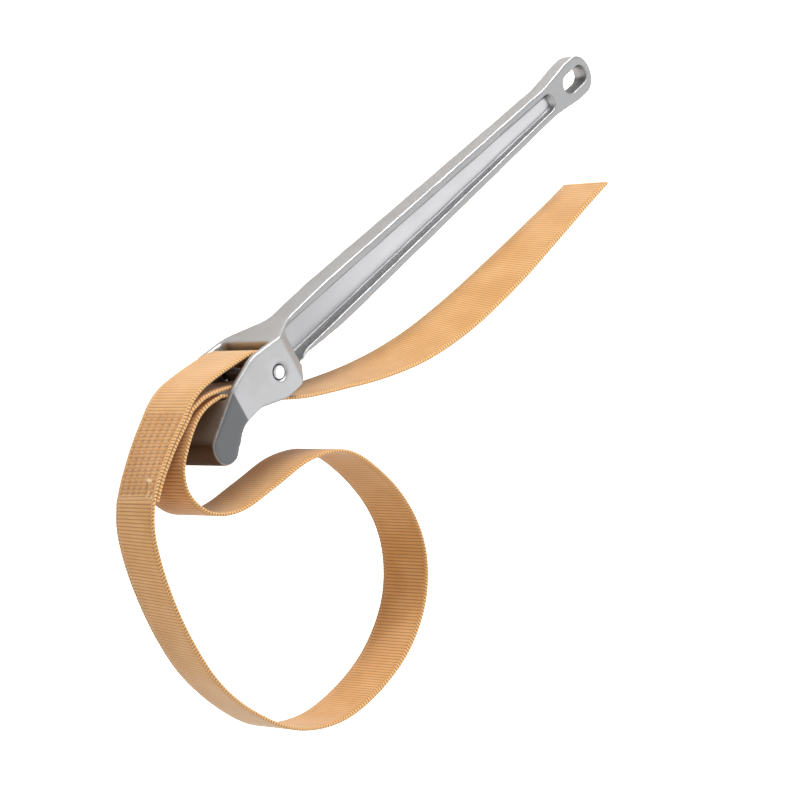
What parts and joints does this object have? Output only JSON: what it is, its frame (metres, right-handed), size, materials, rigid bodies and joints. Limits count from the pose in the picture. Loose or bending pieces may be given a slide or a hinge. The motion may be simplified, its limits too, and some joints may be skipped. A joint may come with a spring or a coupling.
{
  "type": "strap wrench",
  "caption": "Strap wrench: long cast I-section handle with a forked head, a cross pin, and a woven strap sewn round the pin that loops out, returns through the head and ends in a tail.",
  "frame": {"origin": "on the flat outer face of the lower cheek, 20 mm ahead of the strap pin's axis, which is the face the wrench lies on", "axes": "+X runs along the handle from the head to the hang hole, +Z runs along the strap pin and points up as the wrench lies on its side, +Y points away from the heel"},
  "size_m": [0.5402, 0.2564, 0.057],
  "materials": {
    "casting": "satin as-cast aluminium with a fine grain",
    "pin": "ground steel, bright end",
    "webbing": "tan woven webbing with a corded edge",
    "thread": "heavy sewing thread"
  },
  "bodies": {
    "wrench": {"handle_casting": "casting", "strap_pin": "pin"},
    "strap_loop_body": {"strap_eye": "webbing", "strap_loop": "webbing", "strap_return": "webbing", "stitch_outer_1": "thread", "stitch_outer_2": "thread", "stitch_outer_3": "thread", "stitch_outer_4": "thread", "stitch_outer_5": "thread", "stitch_outer_6": "thread", "stitch_inner_1": "thread", "stitch_inner_2": "thread", "stitch_inner_3": "thread", "stitch_inner_4": "thread", "stitch_inner_5": "thread", "stitch_inner_6": "thread"},
    "strap_drawn": {"strap_throat": "webbing"},
    "strap_tail_body": {"strap_tail": "webbing"}
  },
  "joints": [
    {"name": "strap_swivel", "type": "hinge", "parent": "wrench", "child": "strap_loop_body", "pos_m": [0.02, 0, 0.0285], "axis": [0, 0, 1], "range_deg": [-12, 0]},
    {"name": "strap_draw", "type": "slide", "parent": "wrench", "child": "strap_drawn", "axis": [0.7986, -0.6018, 0], "range_m": [0, 0.06]},
    {"name": "tail_flex", "type": "hinge", "parent": "strap_drawn", "child": "strap_tail_body", "pos_m": [0.01362, -0.01665, 0.0285], "axis": [0, 0, 1], "range_deg": [-20, 8]}
  ]
}
